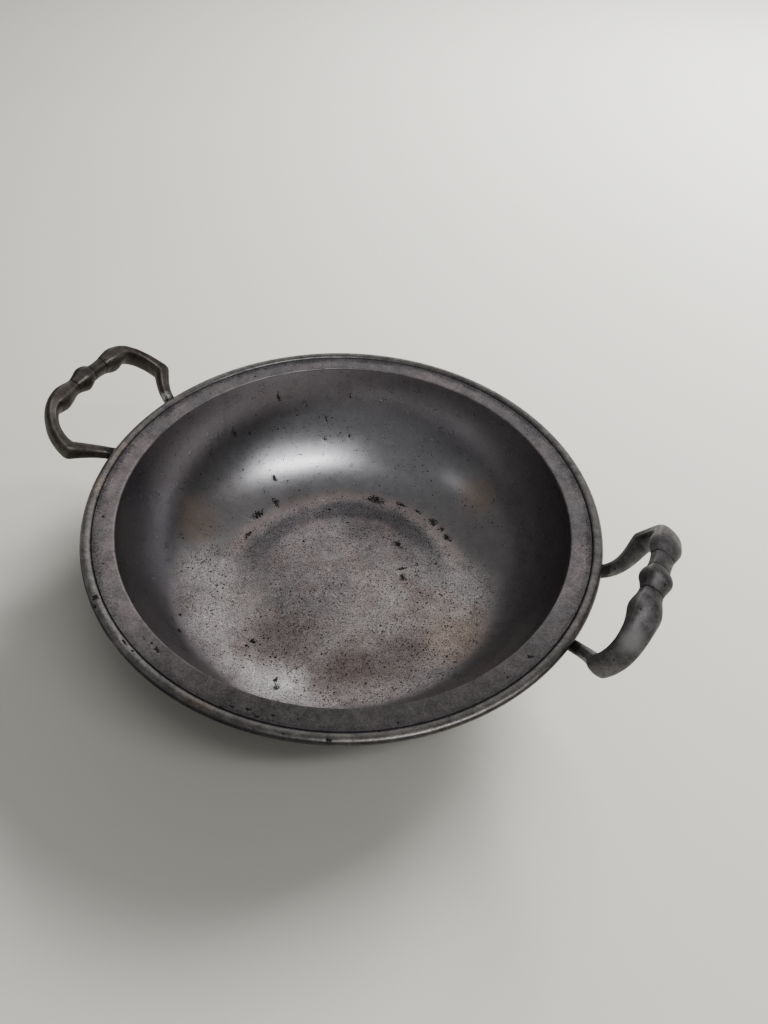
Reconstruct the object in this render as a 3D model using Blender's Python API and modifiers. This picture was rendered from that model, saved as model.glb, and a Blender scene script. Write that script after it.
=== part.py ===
"""Two-handled pewter bowl: a turned bowl with a reeded rim, and two cast loop handles
soldered under the rim.

Metres, +Z up. The origin is the centre of the flat underside, on the bowl's axis, and the
handles lie along X. The right handle, at +X, was set steeper than the left one.
"""

import math

import bmesh
import bpy
from mathutils import Vector

# Bowl
RIM_RADIUS = 0.135
RIM_HEIGHT = 0.0690  # top of the flat rim band above the underside
RIM_THICKNESS = 0.0024
RIM_FILLET = 0.0008  # under the rim, where it meets the wall
LIP_RADIUS = 0.1183  # where the rim band turns down into the wall
LIP_ROUNDING = 0.0010
REED_HALF_WIDTH = 0.0028
REED_HALF_HEIGHT = 0.0019
REED_RISE = 0.0010  # how far the reed stands above the rim band
TROUGH_RADIUS = 0.0600  # lowest ring of the floor inside
FLOOR_THICKNESS = 0.0026
FLOOR_DOME = 0.0022  # how far the middle of the floor rises above that ring
WALL_THICKNESS = 0.0027
BASE_RADIUS = 0.0620  # flat underside
BOWL_STEPS = 64
FLOOR_POINTS = 6
WALL_POINTS = 15
LIP_POINTS = 4
REED_POINTS = 12

# Handles: a flat loop, in a plane that leans out from the rim by the tilt angle
LEFT_TILT = math.radians(27.5)
RIGHT_TILT = math.radians(57.5)
LOOP_START = Vector((0.1336, 0.0, RIM_HEIGHT - 0.0007))  # on the tilted plane, at the rim
LOOP_LENGTH = 0.0400  # from the rim to the middle of the grip, along the tilt
LOOP_SAG = 0.0045  # how far the loop curves down below the straight line of the tilt
ROOT_RADIUS = 0.1242  # from the bowl's axis to the end of an arm
NEAR_ROOT_ANGLE = math.radians(-9.5)  # of the arms' ends, from the handles' middle line,
FAR_ROOT_ANGLE = math.radians(11.2)  # the near ones at -Y and the far ones at +Y
ROOT_DEPTH = 0.0070  # of an arm's end, below the rim band
ROOT_HALF_SIZE = (0.0030, 0.0030, 0.0031)  # of an arm's end: both half widths, half height
ROOT_STUB = 0.0020  # straight end of an arm, square to the wall
ROOT_REACH = 0.0186  # how far the arm is pulled outward before it turns up
ELBOW_PULL = 0.0061  # how straight the arm runs into the elbow, along and across
ARM_SAMPLES = 9
LOOP_SAMPLES = 2  # between two stations of the loop

# Solder
GAP = 0.0003  # between pieces that touch
SOLDER_HALF_WIDTH = 0.0078  # of a pad, where it spreads over the wall
SOLDER_RISE = 0.0036
SOLDER_DROP = 0.0068
SOLDER_SIDES = 16
SOLDER_RINGS = 4

SMOOTH_ANGLE = math.radians(38)


def clear_scene():
    for obj in list(bpy.data.objects):
        bpy.data.objects.remove(obj, do_unlink=True)


def new_collection(name):
    collection = bpy.data.collections.new(name)
    bpy.context.scene.collection.children.link(collection)
    return collection


def metal(name, colour, roughness, metallic):
    material = bpy.data.materials.new(name)
    material.use_nodes = True
    shader = material.node_tree.nodes["Principled BSDF"]
    shader.inputs["Base Color"].default_value = (*colour, 1.0)
    shader.inputs["Roughness"].default_value = roughness
    shader.inputs["Metallic"].default_value = metallic
    return material


def add_object(name, mesh, material, collection):
    mesh.materials.append(material)
    mesh.shade_smooth()
    mesh.set_sharp_from_angle(angle=SMOOTH_ANGLE)
    obj = bpy.data.objects.new(name, mesh)
    collection.objects.link(obj)
    return obj


def arc(centre, half_width, half_height, start, end, count):
    """Points of an ellipse's arc between two angles in degrees, both ends included."""
    points = []
    for i in range(count):
        angle = math.radians(start + (end - start) * i / (count - 1))
        x = centre[0] + half_width * math.cos(angle)
        z = centre[1] + half_height * math.sin(angle)
        points.append((x, z))
    return points


def wall_sizes(offset):
    """Half width and half height of the wall's quarter ellipse, moved outward."""
    return LIP_RADIUS - TROUGH_RADIUS + offset, RIM_HEIGHT - FLOOR_THICKNESS + offset


def wall_curve(offset, start, end):
    """The wall between the floor's lowest ring, at -90 degrees, and the rim, at 0."""
    half_width, half_height = wall_sizes(offset)
    centre = (TROUGH_RADIUS, RIM_HEIGHT)
    return arc(centre, half_width, half_height, start, end, WALL_POINTS)


def outer_wall_radius(height):
    """Radius of the bowl's outside at a height under the rim."""
    half_width, half_height = wall_sizes(WALL_THICKNESS)
    depth = (RIM_HEIGHT - height) / half_height
    return TROUGH_RADIUS + half_width * math.sqrt(1 - depth**2)


def floor_points():
    """The domed floor inside, from the axis to its lowest ring."""
    points = []
    for i in range(FLOOR_POINTS):
        part = i / FLOOR_POINTS
        rise = FLOOR_DOME * 0.5 * (1 + math.cos(math.pi * part))
        points.append((TROUGH_RADIUS * part, FLOOR_THICKNESS + rise))
    return points


def rim_points():
    """The lip, the flat band, the reed and the rim's underside."""
    lip_centre = (LIP_RADIUS + LIP_ROUNDING, RIM_HEIGHT - LIP_ROUNDING)
    reed_centre = (RIM_RADIUS - REED_HALF_WIDTH, RIM_HEIGHT + REED_RISE - REED_HALF_HEIGHT)
    groove_angle = 180 - math.degrees(math.asin(1 - REED_RISE / REED_HALF_HEIGHT))
    underside = RIM_HEIGHT - RIM_THICKNESS
    points = arc(lip_centre, LIP_ROUNDING, LIP_ROUNDING, 180, 90, LIP_POINTS)
    points += arc(
        reed_centre, REED_HALF_WIDTH, REED_HALF_HEIGHT, groove_angle, -80, REED_POINTS
    )
    points.append((reed_centre[0] - REED_HALF_WIDTH, underside))
    points.append((outer_wall_radius(underside) + RIM_FILLET, underside))
    return points


def bowl_profile():
    """The whole outline, from the middle of the floor inside to the middle underneath."""
    points = floor_points()
    points += wall_curve(0.0, -90, -2)
    points += rim_points()
    points += wall_curve(WALL_THICKNESS, -3, -86)
    points.append((BASE_RADIUS, 0.0))
    points.append((0.0, 0.0))
    return points


def make_bowl(collection):
    """The bowl, turned about its axis. The profile ends by running down the outside."""
    mesh = bpy.data.meshes.new("bowl")
    profile = bowl_profile()
    edges = [(i, i + 1) for i in range(len(profile) - 1)]
    mesh.from_pydata([(x, 0.0, z) for x, z in profile], edges, [])
    pewter = metal("bowl_pewter", (0.20, 0.19, 0.19), 0.38, 1.0)
    bowl = add_object("bowl", mesh, pewter, collection)
    screw = bowl.modifiers.new("turn", "SCREW")
    screw.steps = BOWL_STEPS
    screw.render_steps = BOWL_STEPS
    screw.use_merge_vertices = True
    screw.merge_threshold = 0.00005
    return bowl


# Stations along the loop: place along the tilt and across, then the section's half width
# towards the bowl, half width away from it, and half height off the plane.
ARC_STATIONS = (
    (0.0165, 0.0403, 0.0043, 0.0043, 0.0055),  # elbow
    (0.0213, 0.0399, 0.0038, 0.0037, 0.0057),
    (0.0272, 0.0382, 0.0035, 0.0035, 0.0059),
    (0.0325, 0.0352, 0.0034, 0.0034, 0.0061),
    (0.0368, 0.0309, 0.0037, 0.0038, 0.0064),
    (0.0388, 0.0268, 0.0046, 0.0044, 0.0069),
)

# The grip, from the far arc to the near one. Its middle knop is nearer the near arm.
GRIP_STATIONS = (
    (0.0395, 0.0220, 0.0060, 0.0053, 0.0075),  # far knop
    (0.0397, 0.0190, 0.0058, 0.0054, 0.0073),
    (0.0399, 0.0155, 0.0047, 0.0048, 0.0063),
    (0.0400, 0.0122, 0.0041, 0.0041, 0.0054),  # far neck
    (0.0401, 0.0075, 0.0039, 0.0039, 0.0052),
    (0.0402, 0.0038, 0.0042, 0.0042, 0.0055),
    (0.0404, 0.0010, 0.0056, 0.0055, 0.0067),
    (0.0405, -0.0022, 0.0063, 0.0061, 0.0072),  # middle knop
    (0.0404, -0.0056, 0.0052, 0.0051, 0.0063),
    (0.0402, -0.0092, 0.0042, 0.0042, 0.0054),  # near neck
    (0.0400, -0.0128, 0.0044, 0.0044, 0.0057),
    (0.0398, -0.0162, 0.0053, 0.0051, 0.0067),
    (0.0396, -0.0200, 0.0060, 0.0054, 0.0075),  # near knop
    (0.0394, -0.0232, 0.0056, 0.0051, 0.0074),
)

# One quarter of a section, as parts of its half width and half height. The last point
# ends the flat facet along the top.
SECTION_QUARTER = ((1.0, 0.0), (0.95, 0.42), (0.78, 0.78), (0.46, 1.0))


def section_outline():
    """The whole section, once round: rounded sides, and a flat facet above and below."""
    quarter = list(SECTION_QUARTER)
    outline = quarter + [(-x, y) for x, y in reversed(quarter)]
    outline += [(-x, -y) for x, y in quarter[1:]]
    outline += [(x, -y) for x, y in reversed(quarter[1:])]
    return outline


def catmull_rom(before, start, end, after, part):
    """A point on the smooth curve through four stations, between the middle two."""
    blended = []
    for a, b, c, d in zip(before, start, end, after):
        linear = (c - a) * part
        square = (2 * a - 5 * b + 4 * c - d) * part**2
        cube = (3 * b - a - 3 * c + d) * part**3
        blended.append(b + 0.5 * (linear + square + cube))
    return blended


def tilted_plane(tilt):
    """Directions in the handle's plane: along the tilt, across, and off the plane."""
    along = Vector((math.cos(tilt), 0.0, math.sin(tilt)))
    across = Vector((0.0, 1.0, 0.0))
    return along, across, along.cross(across)


def loop_point(tilt, x, y):
    """The loop's middle line at a place along the tilt and across."""
    along, across, normal = tilted_plane(tilt)
    part = x / LOOP_LENGTH
    sag = LOOP_SAG * 4 * part * (1 - part)
    return LOOP_START + along * x + across * y - normal * sag


def arm_stations(tilt, root_angle):
    """One arm, from its end under the rim to the elbow, as (centre, half sizes)."""
    along, across, _ = tilted_plane(tilt)
    side = math.copysign(1.0, root_angle)
    outward = Vector((math.cos(root_angle), math.sin(root_angle), 0.0))
    end = outward * ROOT_RADIUS + Vector((0.0, 0.0, RIM_HEIGHT - ROOT_DEPTH))
    root = end + outward * ROOT_STUB
    elbow_x, elbow_y, *elbow_size = ARC_STATIONS[0]
    elbow = loop_point(tilt, elbow_x, elbow_y * side)
    start_pull = root + outward * ROOT_REACH
    end_pull = elbow - along * ELBOW_PULL - across * ELBOW_PULL * side
    stations = [(end, ROOT_HALF_SIZE)]
    for i in range(ARM_SAMPLES):
        t = i / ARM_SAMPLES
        u = 1 - t
        centre = root * u**3 + start_pull * 3 * u * u * t + end_pull * 3 * u * t * t + elbow * t**3
        blend = t**2
        size = [a + (b - a) * blend for a, b in zip(ROOT_HALF_SIZE, elbow_size)]
        stations.append((centre, size))
    return stations


def loop_stations(tilt, far_side):
    """The loop from the far elbow to the near one, as (centre, half sizes)."""
    near_arc = [(x, -y, *size) for x, y, *size in reversed(ARC_STATIONS)]
    guides = [*ARC_STATIONS, *GRIP_STATIONS, *near_arc]
    guides = [guides[0], *guides, guides[-1]]
    stations = []
    for i in range(1, len(guides) - 2):
        for k in range(LOOP_SAMPLES):
            x, y, *size = catmull_rom(*guides[i - 1 : i + 3], k / LOOP_SAMPLES)
            stations.append((loop_point(tilt, x, y * far_side), size))
    return stations


def handle_stations(tilt, near_angle, far_angle):
    """Every station of a handle, from the far arm's end to the near one's."""
    far_side = math.copysign(1.0, far_angle)
    far_arm = arm_stations(tilt, far_angle)
    near_arm = arm_stations(tilt, near_angle)
    x, y, *size = ARC_STATIONS[0]
    near_elbow = (loop_point(tilt, x, -y * far_side), size)
    return far_arm + loop_stations(tilt, far_side) + [near_elbow] + near_arm[::-1]


def section_ring(stations, i, normal, middle):
    """The section's points at one station, square to the handle's middle line there."""
    centre, (inner, outer, half_height) = stations[i]
    before = stations[max(i - 1, 0)][0]
    after = stations[min(i + 1, len(stations) - 1)][0]
    tangent = (after - before).normalized()
    up = (normal - tangent * normal.dot(tangent)).normalized()
    side = tangent.cross(up)
    inward = math.copysign(1.0, side.dot(middle - centre))
    ring = []
    for x, y in section_outline():
        half_width = inner if x * inward > 0 else outer
        ring.append(centre + side * (half_width * x) + up * (half_height * y))
    return ring


def loft(name, rings):
    """A closed mesh through rings of equal length, with both ends capped."""
    shape = bmesh.new()
    rows = [[shape.verts.new(point) for point in ring] for ring in rings]
    sides = len(rows[0])
    for low, high in zip(rows, rows[1:]):
        for k in range(sides):
            m = (k + 1) % sides
            shape.faces.new((low[k], low[m], high[m], high[k]))
    shape.faces.new(rows[0])
    shape.faces.new(rows[-1])
    bmesh.ops.recalc_face_normals(shape, faces=shape.faces)
    mesh = bpy.data.meshes.new(name)
    shape.to_mesh(mesh)
    shape.free()
    return mesh


def make_handle(name, tilt, near, far, turn, material, collection):
    stations = handle_stations(tilt, near, far)
    middle = sum((centre for centre, _ in stations), Vector()) / len(stations)
    normal = tilted_plane(tilt)[2]
    rings = [section_ring(stations, i, normal, middle) for i in range(len(stations))]
    handle = add_object(name, loft(name, rings), material, collection)
    handle.rotation_euler.z = turn
    return handle


def solder_ring(part, root_angle):
    """One ring of a solder pad: 0 is against the wall, 1 against the arm's end."""
    flare = (1 - part) ** 2
    arm_width, _, arm_height = ROOT_HALF_SIZE
    half_width = arm_width + (SOLDER_HALF_WIDTH - arm_width) * flare
    rise = arm_height + (SOLDER_RISE - arm_height) * flare
    drop = arm_height + (SOLDER_DROP - arm_height) * flare
    ring = []
    for k in range(SOLDER_SIDES):
        angle = 2 * math.pi * k / SOLDER_SIDES
        spread = rise if angle < math.pi else drop
        height = RIM_HEIGHT - ROOT_DEPTH + spread * math.sin(angle)
        sideways = half_width * math.cos(angle)
        wall = outer_wall_radius(height) + GAP
        arm_end = ROOT_RADIUS - GAP
        radius = wall + (arm_end - wall) * part
        turn = root_angle + sideways / radius
        ring.append(Vector((radius * math.cos(turn), radius * math.sin(turn), height)))
    return ring


def make_solder(name, root_angle, turn, material, collection):
    rings = [solder_ring(i / SOLDER_RINGS, root_angle) for i in range(SOLDER_RINGS + 1)]
    pad = add_object(name, loft(name, rings), material, collection)
    pad.rotation_euler.z = turn
    return pad


def main():
    clear_scene()
    collection = new_collection("pewter_bowl")
    make_bowl(collection)
    casting = metal("handle_casting", (0.24, 0.24, 0.24), 0.34, 1.0)
    solder = metal("solder", (0.10, 0.11, 0.10), 0.55, 1.0)
    # The left handle is turned half round, so its near arm is at its own +Y.
    right = ("right", RIGHT_TILT, 0.0, NEAR_ROOT_ANGLE, FAR_ROOT_ANGLE)
    left = ("left", LEFT_TILT, math.pi, -NEAR_ROOT_ANGLE, -FAR_ROOT_ANGLE)
    for label, tilt, turn, near, far in (right, left):
        make_handle(f"handle_{label}", tilt, near, far, turn, casting, collection)
        make_solder(f"solder_{label}_near", near, turn, solder, collection)
        make_solder(f"solder_{label}_far", far, turn, solder, collection)


main()
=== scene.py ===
"""Looks of the two-handled pewter bowl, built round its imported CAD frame.

Everything is in the frame's metres, +Z up, with the bowl's axis on Z and the handles along X.
"""

import math

import bmesh
import bpy
import numpy as np
from mathutils import Matrix, Quaternion, Vector, noise


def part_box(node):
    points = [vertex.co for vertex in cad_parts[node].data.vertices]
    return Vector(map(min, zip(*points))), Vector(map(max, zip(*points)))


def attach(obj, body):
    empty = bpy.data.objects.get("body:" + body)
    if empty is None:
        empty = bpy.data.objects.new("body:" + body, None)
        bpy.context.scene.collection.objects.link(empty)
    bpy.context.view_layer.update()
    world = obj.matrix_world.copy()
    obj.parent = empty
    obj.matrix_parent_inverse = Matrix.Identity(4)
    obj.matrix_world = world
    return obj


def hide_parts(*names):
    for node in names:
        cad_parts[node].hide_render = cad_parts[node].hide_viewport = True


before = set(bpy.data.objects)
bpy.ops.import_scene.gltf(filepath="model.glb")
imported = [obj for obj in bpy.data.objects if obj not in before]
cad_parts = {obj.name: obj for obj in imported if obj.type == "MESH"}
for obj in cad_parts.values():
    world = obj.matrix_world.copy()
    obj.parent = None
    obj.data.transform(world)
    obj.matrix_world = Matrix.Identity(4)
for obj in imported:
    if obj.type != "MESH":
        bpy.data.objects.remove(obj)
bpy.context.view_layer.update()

# Bowl, as the CAD has it
RIM_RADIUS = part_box("bowl")[1].x
REED_RISE = 0.0010
RIM_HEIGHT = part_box("bowl")[1].z - REED_RISE
RIM_THICKNESS = 0.0024
RIM_FILLET = 0.0008
LIP_RADIUS = 0.1183
LIP_ROUNDING = 0.0010
REED_HALF_WIDTH = 0.0028
REED_HALF_HEIGHT = 0.0019
TROUGH_RADIUS = 0.0600
FLOOR_THICKNESS = 0.0026
FLOOR_DOME = 0.0022
WALL_THICKNESS = 0.0027
BASE_RADIUS = 0.0620

# Bowl, finer than the CAD
BOWL_STEPS = 720
GROOVE_RADIUS = 0.1294  # the scribed line inside the reed
GROOVE_HALF_WIDTH = 0.00032
GROOVE_DEPTH = 0.00030
WAVE_DEPTH = 0.00014  # of the slow unevenness left by hammering and use
WAVE_LENGTH = 0.055
WAVE_SEED = 4
WAVE_COUNT = 14
WAVE_SPAN = 4.0  # about what that many waves come to where they meet
RIM_WAVE = 0.3  # how much of that unevenness the rim has
LIP_CALM = 0.006  # how far from the lip the unevenness starts
RIM_TOP_DEPTH = 0.0012  # scars press only what is nearer than this to the rim's top
FAR_AZIMUTH = 115  # of the side furthest from the camera, in degrees
CAMERA_SIDE_AZIMUTH = -58  # of the side facing the camera, where the rim gets painted shade and fewer specks

# Handles, as the CAD has them
TILTS = {"left": math.radians(27.5), "right": math.radians(57.5)}
TURNS = {"left": math.pi, "right": 0.0}
LOOP_START = Vector((0.1336, 0.0, RIM_HEIGHT - 0.0007))
LOOP_LENGTH = 0.0400
LOOP_SAG = 0.0045
ROOT_RADIUS = 0.1242
NEAR_ROOT_ANGLE = math.radians(-9.5)
FAR_ROOT_ANGLE = math.radians(11.2)
ROOT_DEPTH = 0.0070
ROOT_HALF_SIZE = (0.0030, 0.0030, 0.0031)
ROOT_CAP = 0.0006
ROOT_STUB = 0.0020
ROOT_REACH = 0.0186
ELBOW_PULL = 0.0061
ARM_SAMPLES = 44
LOOP_SAMPLES = 14

# Camera and stage
CAMERA_PLACE = Vector((0.1280, -0.2475, 0.3661))
CAMERA_YAW = math.radians(-23.24)
CAMERA_PITCH = math.radians(47.23)
CAMERA_ROLL = math.radians(4.33)
CAMERA_LENS = 27.04
TABLE_SIZE = 8.0
TABLE_DROP = 0.0002  # of the table's top below the bowl's base
BOWL_MIDDLE = (0.0, 0.0, 0.03)  # where the lights point
TABLE_MIDDLE = (0.15, 0.85, 0.0)  # of the part of the table that is lit for itself

# Room: where it is brightest, and how bright and dark it is
BRIGHT_AZIMUTH = -165
BRIGHT_ELEVATION = 25
ROOM_EDGE = 0.66  # cosine of the angle from there at which it is dark
ROOM_BRIGHT = 1.12
ROOM_DARK = 0.225


# ---------------------------------------------------------------- materials


class Recipe:
    """One node-based material, written as a list of steps."""

    def __init__(self, name):
        self.material = bpy.data.materials.new(name)
        self.material.use_nodes = True
        self.tree = self.material.node_tree
        self.shader = self.tree.nodes["Principled BSDF"]
        self.place = self.tree.nodes.new("ShaderNodeTexCoord").outputs["Object"]

    def node(self, kind, inputs, output=0, **settings):
        """A node with its settings and inputs given, returning one of its outputs."""
        made = self.tree.nodes.new(kind)
        for name, value in settings.items():
            setattr(made, name, value)
        for key, value in inputs.items():
            if isinstance(value, bpy.types.NodeSocket):
                self.tree.links.new(value, made.inputs[key])
            else:
                made.inputs[key].default_value = value
        return made.outputs[output]

    def calc(self, operation, *values):
        return self.node("ShaderNodeMath", dict(enumerate(values)), operation=operation)

    def times(self, first, second):
        return self.calc("MULTIPLY", first, second)

    def most(self, first, *others):
        """The largest of several values."""
        for other in others:
            first = self.calc("MAXIMUM", first, other)
        return first

    def ramp(self, value, low, high, start=0.0, end=1.0):
        """A smooth step from start to end while value goes from low to high."""
        inputs = {"Value": value, "From Min": low, "From Max": high}
        inputs.update({"To Min": start, "To Max": end})
        return self.node("ShaderNodeMapRange", inputs, interpolation_type="SMOOTHSTEP")

    def shifted(self, shift, scale=(1.0, 1.0, 1.0)):
        """The place, moved and stretched, so that each texture reads its own part."""
        inputs = {0: self.place, 1: scale, 2: shift}
        return self.node("ShaderNodeVectorMath", inputs, operation="MULTIPLY_ADD")

    def noise(self, scale, detail=4.0, roughness=0.55, seed=0.0, distortion=0.0):
        place = self.shifted((seed, seed * 0.37, -seed))
        inputs = {"Vector": place, "Scale": scale, "Detail": detail}
        inputs.update({"Roughness": roughness, "Distortion": distortion})
        return self.node("ShaderNodeTexNoise", inputs)

    def dots(self, scale, radius, share, seed=0.0, ragged=0.25):
        """Small round spots at random: 1 inside a spot. Share is how many cells hold one."""
        rough = self.noise(scale * 2.2, 2.0, 0.6, seed + 3.1)
        place = self.shifted((seed, -seed, seed * 0.61))
        inputs = {"Vector": place, "Scale": scale}
        distance = self.node("ShaderNodeTexVoronoi", inputs, "Distance")
        chance = self.node("ShaderNodeTexVoronoi", inputs, "Color")
        chance = self.node("ShaderNodeSeparateColor", {0: chance}, 0)
        far = self.calc("MULTIPLY_ADD", rough, ragged, distance)
        edge = radius + ragged * 0.5
        spot = self.ramp(far, edge * 0.75, edge * 1.1, 1.0, 0.0)
        return self.times(spot, self.calc("LESS_THAN", chance, share))

    def mix(self, factor, first, second, blend="MIX"):
        inputs = {0: factor, 6: first, 7: second}
        return self.node("ShaderNodeMix", inputs, 2, data_type="RGBA", blend_type=blend)

    def shade(self, colour, factor):
        """A colour made darker or lighter by a factor."""
        return self.mix(1.0, colour, factor, "MULTIPLY")

    def cover(self, colour, mask, amount, paint):
        """A colour with another over it where the mask is 1, at most as thick as amount."""
        return self.mix(self.times(mask, amount), colour, paint)

    def patches(self, colour, places, paint, seed):
        """A colour with a soft patch of another at each of the places."""
        for i, (x, y, z, size, amount) in enumerate(places):
            patch = self.blob((x, y, z), size, seed=seed + i)
            colour = self.cover(colour, patch, amount, paint)
        return colour

    def reach(self):
        """Distance from the bowl's axis."""
        inputs = {0: self.place, 1: (1, 1, 0)}
        flat = self.node("ShaderNodeVectorMath", inputs, operation="MULTIPLY")
        return self.node("ShaderNodeVectorMath", {0: flat}, "Value", operation="LENGTH")

    def towards(self, azimuth):
        """How far a place lies from the axis towards an azimuth, in degrees from +X to +Y."""
        angle = math.radians(azimuth)
        inputs = {0: self.place, 1: (math.cos(angle), math.sin(angle), 0.0)}
        return self.node("ShaderNodeVectorMath", inputs, "Value", operation="DOT_PRODUCT")

    def off(self, radius, centre):
        """Distance from a circle round the axis."""
        return self.calc("ABSOLUTE", self.calc("SUBTRACT", radius, centre))

    def ring(self, radius, centre, half_width):
        """1 on a circle round the axis, fading over half_width to each side."""
        return self.ramp(self.off(radius, centre), half_width * 0.35, half_width, 1.0, 0.0)

    def mark(self, name):
        """A value that the mesh carries at its points."""
        return self.node("ShaderNodeAttribute", {}, "Fac", attribute_name=name)

    def blob(self, centre, radius, seed=0.0):
        """A soft patch with a wandering outline, 1 in its middle."""
        inputs = {0: self.place, 1: centre}
        offset = self.node("ShaderNodeVectorMath", inputs, "Value", operation="DISTANCE")
        wander = self.noise(38.0, 3.0, 0.6, seed)
        far = self.calc("MULTIPLY_ADD", wander, radius * 0.9, offset)
        return self.ramp(far, radius * 0.65, radius * 1.45, 1.0, 0.0)

    def bump(self, height, distance, strength=1.0, below=None):
        inputs = {"Height": height, "Distance": distance, "Strength": strength}
        if below is not None:
            inputs["Normal"] = below
        return self.node("ShaderNodeBump", inputs)

    def finish(self, colour, roughness, normal, metallic=1.0):
        """The material, with these as its shader's inputs."""
        inputs = self.shader.inputs
        self.tree.links.new(colour, inputs["Base Color"])
        self.tree.links.new(normal, inputs["Normal"])
        if isinstance(roughness, bpy.types.NodeSocket):
            self.tree.links.new(roughness, inputs["Roughness"])
        else:
            inputs["Roughness"].default_value = roughness
        inputs["Metallic"].default_value = metallic
        return self.material


def rgb(red, green, blue):
    return (red, green, blue, 1.0)


def turned_lines(r, radius):
    """Fine rings left by turning, as a height that changes with radius and height only."""
    height = r.node("ShaderNodeSeparateXYZ", {0: r.place}, 2)
    across = r.node("ShaderNodeCombineXYZ", {"X": radius, "Y": height, "Z": 0.0})
    inputs = {"Vector": across, "Scale": 900.0, "Detail": 3.0, "Roughness": 0.7}
    return r.node("ShaderNodeTexNoise", inputs)


def gouges(r, rough, low, high):
    """1 in the ragged middles of the scars that the mesh carries."""
    scar = r.mark("scar")
    ragged = r.calc("MULTIPLY_ADD", scar, 0.30, rough)
    return r.times(r.ramp(ragged, low, high), r.ramp(scar, 0.02, 0.12))


def floor_mask(r, radius, far_side):
    """1 on the pale floor and 0 on the wall. The floor's edge wanders, and it lies further in on the
    far side than on the near one: painted shade on the far trough, and painted light low on the near
    wall."""
    edge = r.calc("MULTIPLY_ADD", r.noise(26.0, 4.0, 0.6, 1.7), 0.012, radius)
    # The far side's shift paints shade, and the near side's shift paints light
    edge = r.calc("MULTIPLY_ADD", far_side, 0.017, edge)
    near_side = r.ramp(r.towards(-125), 0.020, 0.075)
    edge = r.calc("MULTIPLY_ADD", near_side, -0.0095, edge)
    return r.ramp(edge, 0.0865, 0.0975, 1.0, 0.0)


def wall_colour(r, radius, cloud):
    """Warm grey, with painted reflection making the far side cooler and paler, and painted shade
    darkening it near the lip, on the near side and at left.
    """
    warm = r.mix(cloud, rgb(0.250, 0.240, 0.242), rgb(0.325, 0.303, 0.300))
    cool = r.mix(cloud, rgb(0.312, 0.310, 0.330), rgb(0.392, 0.382, 0.395))
    # Painted reflection of the window's glow: cooler and paler on the far side
    colour = r.mix(r.ramp(r.towards(FAR_AZIMUTH), 0.030, 0.090), warm, cool)
    # Painted shade on the upper wall, away from the far side and the right, and on the near side's
    # lower wall
    not_far = r.ramp(r.towards(FAR_AZIMUTH), 0.085, 0.108, 0.45, 0.0)
    high = r.times(r.ramp(radius, 0.100, 0.112), not_far)
    high = r.times(high, r.ramp(r.towards(0), 0.035, 0.090, 1.0, 0.0))
    high = r.times(high, r.ramp(radius, 0.1125, 0.1175, 1.0, 0.2))
    near = r.ramp(r.towards(-130), 0.080, 0.100)
    near = r.times(near, r.ramp(radius, 0.092, 0.102, 0.0, 0.75))
    colour = r.mix(r.most(high, near), colour, rgb(0.085, 0.080, 0.084))
    # Painted shade on the left wall
    at_left = r.ramp(r.towards(180), 0.070, 0.102, 0.0, 0.70)
    at_left = r.times(r.ring(radius, 0.1085, 0.0130), at_left)
    return r.mix(at_left, colour, rgb(0.135, 0.130, 0.136))


def floor_colour(r, cloud):
    """Pale grey in clouds, with warmer patches."""
    colour = r.mix(r.ramp(cloud, 0.35, 0.65), rgb(0.242, 0.222, 0.224), rgb(0.405, 0.368, 0.357))
    warmer = r.ramp(r.noise(55.0, 4.0, 0.6, 19.0), 0.48, 0.66)
    return r.cover(colour, warmer, 0.7, rgb(0.335, 0.280, 0.264))


def with_painted_arcs(r, colour, radius, far_side):
    """The colour with a painted dark arc of shade and a painted pale arc of reflection outside it,
    on the floor's far side.
    """
    ragged = r.calc("MULTIPLY_ADD", r.noise(60.0, 3.0, 0.5, 23.0), 0.004, radius)
    # Painted shade: a dark arc in the far trough
    dark = r.times(r.ring(ragged, 0.0595, 0.0085), far_side)
    colour = r.cover(colour, dark, 0.75, rgb(0.135, 0.130, 0.138))
    # Painted reflection: a pale arc outside it
    pale = r.times(r.ring(ragged, 0.0725, 0.0060), far_side)
    return r.cover(colour, pale, 0.65, rgb(0.40, 0.34, 0.325))


def inside_pits(r, floor):
    """Pits of three sizes, crowded on the floor and rare on the wall, and the scars."""
    cluster = r.times(r.blob(WALL_SPECKS, 0.016, seed=37.0), 0.9)
    allowed = r.most(r.ramp(floor, 0.0, 1.0, 0.14, 1.0), cluster)
    crowd = r.noise(34.0, 4.0, 0.65, 12.0)
    share = r.times(r.ramp(crowd, 0.32, 0.68, 0.30, 0.85), allowed)
    fine = r.times(r.dots(760.0, 0.27, share, 1.3), 0.95)
    share = r.times(r.ramp(crowd, 0.42, 0.66, 0.08, 0.70), allowed)
    small = r.dots(430.0, 0.23, share, 6.1)
    share = r.times(r.ramp(crowd, 0.44, 0.72, 0.02, 0.14), allowed)
    large = r.dots(190.0, 0.19, share, 8.4, 0.35)
    rough = r.noise(850.0, 3.0, 0.7, 3.3, distortion=0.8)
    return r.most(fine, small, large, gouges(r, rough, 0.625, 0.665))


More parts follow.
